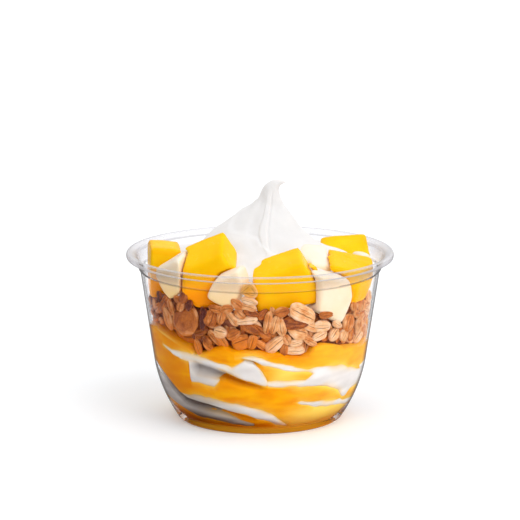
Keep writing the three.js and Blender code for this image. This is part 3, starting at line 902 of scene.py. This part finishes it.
# The granola. The flakes that show at the front: angle, height, length, width, turn from level, toasting
FRONT_FLAKES = [
    (-43, 46.4, 14.4, 12, 10, 0.7), (-30, 47.8, 8.6, 3.8, 80, 1.0), (-26, 49, 7.6, 5.6, 70, 0.6),
    (-20, 49.8, 6.2, 4.1, 75, 0.5), (-14, 49.5, 7.3, 3.5, -50, 0.35), (-10, 51.5, 5.4, 3.4, -40, 0.45),
    (-56, 45.2, 9.7, 3.6, -68, 0.5), (-52, 50.9, 6.5, 3, -60, 0.5), (-44, 52.3, 5.9, 3.6, 60, 0.5),
    (-38, 53, 5, 3, 70, 0.95), (-65, 48.3, 5.7, 4, 30, 0.7), (-72, 43.5, 5.4, 4, 0, 0.75),
    (-21, 43.3, 5.9, 4.7, -10, 0.2), (-24, 40.9, 7.6, 3.4, -50, 0.5), (-20, 40.4, 7.3, 3.2, -55, 0.45),
    (-29, 39.3, 5.3, 3.4, -40, 0.7), (-35, 35.9, 7.3, 3, -65, 0.5), (-28, 36.8, 7, 3, -35, 0.5),
    (-10, 39.8, 7.6, 6.7, 20, 0.6), (-4, 40, 6.5, 4.4, 75, 0.5), (-14, 42.8, 6.2, 3.9, 30, 0.55),
    (-5, 45.5, 8.8, 3.4, -25, 0.7), (-7, 48.9, 9.2, 3.8, 8, 0.08), (-5, 60.2, 6.5, 3.2, -15, 0.3),
    (-5.2, 57, 7, 3.2, -12, 0.15), (-6.2, 54.4, 7.6, 3.4, -10, 0.35), (-4.5, 52.3, 6.5, 3, -20, 0.75),
    (22, 51, 12.7, 7.9, -28, 0.25), (20, 43.5, 8.6, 6.2, -20, 0.28), (34, 44.8, 7.9, 5.2, -2, 0.15),
    (44, 44.7, 5, 3, -30, 0.2), (36, 49.6, 7.6, 3.4, 0, 0.6), (27, 39.4, 7.2, 3.2, -30, 0.4),
    (33, 41, 7.6, 4.1, 15, 0.1), (43, 40.4, 6.5, 4.4, 40, 0.2), (51, 39.2, 5.4, 4.5, 60, 0.3),
    (54, 43.7, 7.9, 5.5, 60, 0.45), (65, 41.5, 8.3, 3.6, 75, 0.4), (74, 39, 8.6, 3.8, 70, 0.5),
    (65, 49.9, 6.2, 4.5, 60, 0.4), (56, 51, 5.2, 3.2, 80, 0.5), (60, 46.7, 5.4, 3.6, -20, 0.45),
    (18, 47.2, 11.4, 5, -5, 0.8), (4, 48, 9.3, 3.6, 80, 0.45), (7.5, 47.3, 8.6, 3.4, 75, 0.35),
    (11, 45.9, 7.6, 4, -80, 0.28), (8, 39, 9.3, 5.2, 40, 0.2), (14, 40.7, 5, 3.4, -60, 0.4),
    (19, 39.2, 5.6, 3.6, 10, 0.15), (19, 36, 8.4, 4, -5, 0.15), (13, 36.8, 5.5, 3.4, 80, 0.6),
    (1, 44.1, 9, 3.8, -35, 0.68), (11, 52.3, 6.4, 4, 10, 0.6), (-41.5, 55.8, 6, 3.8, 60, 0.75),
    (-45, 54.4, 6, 3.6, -20, 0.6), (-11.5, 55.5, 6, 3.6, -40, 0.45), (-6.5, 62.2, 6.4, 3.4, 40, 0.15),
    (-3.6, 61.6, 5.6, 3.2, -60, 0.15), (-22.5, 53.1, 6.4, 3.4, -8, 0.6), (-16.8, 53.4, 6, 3.2, 12, 0.5),
]
FLAKE_LENGTH, FLAKE_WIDTH, FLAKE_THICK = 8.2, 4.8, 3.2
FLAKE_ALONG, FLAKE_ROUND, FLAKE_SHARP = 13, 24, 60
# A piece wider than this is a round slice, with no crease and a paler rim of painted light
DISC_WIDTH = 9.0
# Layers of other flakes: distance from the wall and each other, and highest middle
LAYERS = [(0.5, 4.4, 52.0), (2.4, 4.0, 51.5)]
# Flakes toasted more than this are in the toasted piece
TOASTED = 0.45
# The radius at which gaps are measured, and how far the granola sinks into the sauce
GRANOLA_R, INTO_SAUCE = 45, 0.5


def flake(length, width, thick, draw):
    """One flake, lying in its own XY plane with its creased face towards +Z, and its painted values."""
    blunt, thin_end, square = 2.2, 0.0004, 0.9
    crease_off, dent_width, dent_depth, dent_ends, no_crease = 0.25, 0.2, 0.35, 0.6, 5.0
    waver, waves, bends, twists = 0.1, 2.4, (-0.05, 0.09), (-0.12, 0.12)
    bump, bump_waves, bump_length, bump_shares = 0.12, 8, 3.0, np.array([0.4, 0.6, 0.7])
    # A round slice's rim is paler, as painted light
    paler, paler_from = 0.2, 0.7
    u = np.sin(np.linspace(-1, 1, FLAKE_ALONG)[:, None] * math.pi / 2)
    v = np.arange(FLAKE_ROUND)[None, :] * 2 * math.pi / FLAKE_ROUND
    plump = np.sqrt(np.maximum(1 - np.abs(u) ** blunt, thin_end))
    across = np.cos(v) * np.ones_like(u)
    rise = np.sign(np.sin(v)) * np.abs(np.sin(v)) ** square
    crease_at = draw.uniform(-crease_off, crease_off)
    dent = np.exp(-(((across - crease_at) / dent_width) ** 2)) * (np.sin(v) > 0) * (1 - dent_ends * u * u)
    x = u * length / 2 * np.ones_like(v)
    y = across * plump * width / 2 * (1 + waver * np.sin(waves * u + draw.uniform(0, 6)))
    z = rise * plump * thick / 2 - dent_depth * thick / 2 * dent * plump
    z = z + draw.uniform(*bends) * (x * x) / length + draw.uniform(*twists) * x * y / width
    points = np.stack([x, y, z], -1).reshape(-1, 3)
    bumps = spread(int(draw.integers(1e6)), bump_waves, bump_length)
    points += bump * bumps(points)[:, None] * bump_shares
    along = (u * np.ones_like(v)).ravel()
    bow = draw.uniform(-crease_off, crease_off)
    if width > DISC_WIDTH:
        out = np.hypot(points[:, 0] / length, points[:, 1] / width) * 2
        rim = paler * step_up((out - paler_from) / (1 - paler_from))
        return points, {"along": 0.0, "across": 0.0, "crease": no_crease, "bow": 0.0, "pale": rim}
    return points, {"along": along, "across": across.ravel(), "crease": crease_at, "bow": bow, "pale": 0.0}


FLAKE_FACES = ring_faces(FLAKE_ALONG, FLAKE_ROUND, closed_ends=False)
FLAKE_FACES += [tuple(range(FLAKE_ROUND))[::-1]]
FLAKE_FACES += [tuple((FLAKE_ALONG - 1) * FLAKE_ROUND + j for j in range(FLAKE_ROUND))]


def turn_about(points, axis, degrees):
    c, s = math.cos(math.radians(degrees)), math.sin(math.radians(degrees))
    i, j = [(1, 2), (2, 0), (0, 1)][axis]
    out = points.copy()
    out[:, i] = c * points[:, i] - s * points[:, j]
    out[:, j] = s * points[:, i] + c * points[:, j]
    return out


def at_wall(points, angle, z, turn, tip, roll, inset):
    """A flake set against the wall, its creased face outwards, then drawn in until it is clear of it."""
    out = points
    for axis, degrees in ((1, tip), (0, roll), (2, turn), (0, 90), (2, angle)):
        out = turn_about(out, axis, degrees)
    out += around(angle, wall_radius(z), z)
    over = (np.hypot(out[:, 0], out[:, 1]) - wall_radius(out[:, 2])).max()
    return out - around(angle, over + inset, 0)


class Heap:
    """Many small things gathered as one mesh."""

    def __init__(self):
        self.points, self.faces, self.values, self.count = [], [], [], 0

    def add(self, points, faces, values):
        self.faces += [tuple(i + self.count for i in f) for f in faces]
        self.points.append(points)
        self.values.append(values)
        self.count += len(points)

    def make(self, name):
        made = mesh_object(name, np.vstack(self.points), self.faces)
        for key in self.values[0]:
            each = [np.broadcast_to(v[key], len(p)) for v, p in zip(self.values, self.points)]
            paint(made, key, np.concatenate(each))
        return smooth(made, FLAKE_SHARP)


def tree_of(objects):
    points, faces = [], []
    for made in objects:
        start = len(points)
        points += [Vector(p) for p in places(made).tolist()]
        faces += [tuple(start + i for i in f.vertices) for f in made.data.polygons]
    return BVHTree.FromPolygons(points, faces)


soaking = spread(31, 20, 14.0)


def granola_floor(angle):
    return sauce_line(angle) - INTO_SAUCE


def wetness(points):
    """How far sauce soaks into a flake from below, and how much juice lies on it, at each point."""
    most, rise, uneven, least = 0.75, 6, 0.5, 0.1
    left_of, left_fade, back_of, back_fade = 12, 16, 85, 40
    juice, juice_angle, juice_z, juice_size = 0.9, -5, 62, (6, 3)
    angle = np.degrees(np.arctan2(points[:, 0], -points[:, 1]))
    above = points[:, 2] - sauce_line(angle)
    wet = np.clip(most - above / rise + uneven * soaking(points), 0, most)
    left = (left_of - angle) / left_fade
    back = step_up((angle - back_of) / back_fade)
    soak = wet * np.clip(np.maximum(left, back), least, 1)
    return {"soak": soak, "juice": juice * spot(angle - juice_angle, points[:, 2] - juice_z, juice_size)}


def add_flake(heaps, draw, shape, place, tone, blocked=None):
    """A flake added to its heap, unless it cuts into what is blocked. Says whether it was added."""
    points, values = flake(*shape, draw)
    points = at_wall(points, *place)
    if blocked and BVHTree.FromPolygons([Vector(p) for p in points.tolist()], FLAKE_FACES).overlap(blocked):
        return False
    values["tone"] = tone - values.pop("pale")
    values.update(wetness(points))
    heaps["toasted" if tone > TOASTED else "pale"].add(points, FLAKE_FACES, values)
    return True


def add_front_flakes(heaps, draw):
    """The listed flakes. Gives the room that they take at the wall, and that discs take behind it."""
    most_tip, most_roll, disc_lean = 10, 16, (0, -8)
    inset, thick, room, disc_room = 0.1, 0.75, 0.45, 0.66
    taken, discs = [], []
    for angle, z, length, width, turn, tone in FRONT_FLAKES:
        disc = width > DISC_WIDTH
        lean = disc_lean
        if not disc:
            lean = (draw.uniform(-most_tip, most_tip), draw.uniform(-most_roll, most_roll))
        shape = (length, width, min(FLAKE_THICK, thick * width))
        add_flake(heaps, draw, shape, (angle, z, turn, *lean, inset), tone)
        taken.append((angle, z, (disc_room if disc else room) * length))
        if disc:
            discs.append((angle, z, room * length))
    return taken, discs


def is_clear(spots, angle, z, apart):
    for a, h, room in spots:
        gap = abs((angle - a + 180) % 360 - 180) * math.radians(1) * GRANOLA_R
        if math.hypot(gap, z - h) < max(apart, room):
            return False
    return True


def fill_layer(heaps, draw, layer, spots, blocked):
    """Flakes of many sizes all round, where the spots taken so far leave room."""
    tries, lift, sizes, widths, thick = 5200, 2.4, (0.66, 1.16), (0.7, 1.2), 0.7
    most_turn, most_tip, most_roll = 90, 34, 40
    palest, tones, painted_shade_left = 0.1, 0.6, 0.15
    inset, apart, top = layer
    for _ in range(tries):
        angle = draw.uniform(-180, 180)
        z = draw.uniform(granola_floor(angle) + lift, top)
        if not is_clear(spots, angle, z, apart):
            continue
        size = draw.uniform(*sizes)
        width = FLAKE_WIDTH * size * draw.uniform(*widths)
        shape = (FLAKE_LENGTH * size, width, min(FLAKE_THICK * size, thick * width))
        turn = draw.uniform(-most_turn, most_turn)
        # Painted shade: flakes are darker towards the left
        tone = palest + tones * draw.random() + painted_shade_left * (1 - math.sin(math.radians(angle)))
        tip = draw.uniform(-most_tip, most_tip)
        roll = draw.uniform(-most_roll, most_roll)
        if add_flake(heaps, draw, shape, (angle, z, turn, tip, roll, inset), tone, blocked):
            spots.append((angle, z, apart))


def make_flakes(blocked):
    draw = np.random.default_rng(17)
    heaps = {"pale": Heap(), "toasted": Heap()}
    rooms = add_front_flakes(heaps, draw)
    for layer, spots in zip(LAYERS, rooms):
        fill_layer(heaps, draw, layer, spots, blocked)
    stuff = oats()
    dress(heaps["pale"].make("granola_flakes"), stuff, "granola")
    dress(heaps["toasted"].make("granola_toasted_flakes"), stuff, "granola")


def make_granola_core():
    columns, rows, inset, under = 120, 14, 3.6, 0.4
    lowest, underside, top = 33, 36.5, 50.5
    crumbs, height = spread(21, 20, 5.0), 0.7
    angle = np.arange(columns) * 360 / columns
    low = np.maximum(granola_floor(angle), lowest) - under
    z = low + np.linspace(0, 1, rows)[:, None] * (top - low)
    points = around(angle, wall_radius(z) - inset, z)
    points += around(angle, 1, 0)[None] * height * crumbs(points)[..., None]
    core = closed_layer("granola_core", points, underside, top)
    dress(core, crumb_dark_as_shade(), "granola", "granola")


# The studio and the camera
def make_floor():
    """A floor that is brighter where it is seen than in the light that it throws back."""
    half, shown, thrown, glow = 6000.0, (0.88, 0.9, 0.92, 1), (0.42, 0.42, 0.42, 1), 0.14
    corners = [(x * half, y * half, 0) for x, y in ((-1, -1), (1, -1), (1, 1), (-1, 1))]
    floor = mesh_object("floor", corners, [(0, 1, 2, 3)])
    s = material("studio_floor")
    s.set(Roughness=0.9, Specular_IOR_Level=0.0, Emission_Color=(1, 1, 1, 1))
    path = s.node("LightPath")
    seen = s.math("MAXIMUM", path.outputs["Is Camera Ray"], path.outputs["Is Transmission Ray"])
    s.colour(s.mix(seen, thrown, shown))
    s.link(s.times(seen, glow), s.main.inputs["Emission Strength"])
    floor.data.materials.append(s.owner)


def make_lamps():
    """Soft lamps: strength, width in degrees and where from."""
    lamps = [("key", 0.62, 40, (0.55, -0.5, 0.75)), ("fill", 0.6, 50, (0.5, -0.8, 0.3))]
    for name, energy, width, way in lamps:
        light = bpy.data.lights.new(name, "SUN")
        light.energy = energy
        light.angle = math.radians(width)
        linked(name, light).rotation_euler = (-Vector(way)).to_track_quat("-Z", "Y").to_euler()


def make_sky():
    """A sky that is full above, and at the horizon goes from dark on the left to bright on the right."""
    dark, bright, full = 0.08, 0.9, 1.0
    bpy.context.scene.world = bpy.data.worlds.new("studio")
    s = Shader(bpy.context.scene.world)
    s.set(Color=(1, 1, 1, 1))
    way = s.node("SeparateXYZ", Vector=s.node("TexCoord").outputs["Generated"])
    horizon = s.fit(way.outputs["X"], -0.9, 0.8, dark, bright)
    strength = s.fit(way.outputs["Z"], 0.05, 0.5, horizon, full)
    s.link(strength, s.main.inputs["Strength"])


def make_camera():
    lens = bpy.data.cameras.new("camera")
    lens.lens = 222.9
    lens.sensor_width = 36.0
    lens.clip_end = 100.0
    eye = linked("camera", lens)
    eye.location = (0.0, -1.27338, 0.32575)
    look_at = Vector((0, 0, 0.06403))
    eye.rotation_euler = (look_at - eye.location).to_track_quat("-Z", "Y").to_euler()
    bpy.context.scene.camera = eye


make_cup()
make_lower_soft_serve()
make_sauce()
fruit = make_fruit()
top = make_top(fruit)
make_flakes(tree_of([*fruit, top]))
make_granola_core()
make_floor()
make_lamps()
make_sky()
make_camera()
bpy.context.scene.view_settings.view_transform = "Standard"
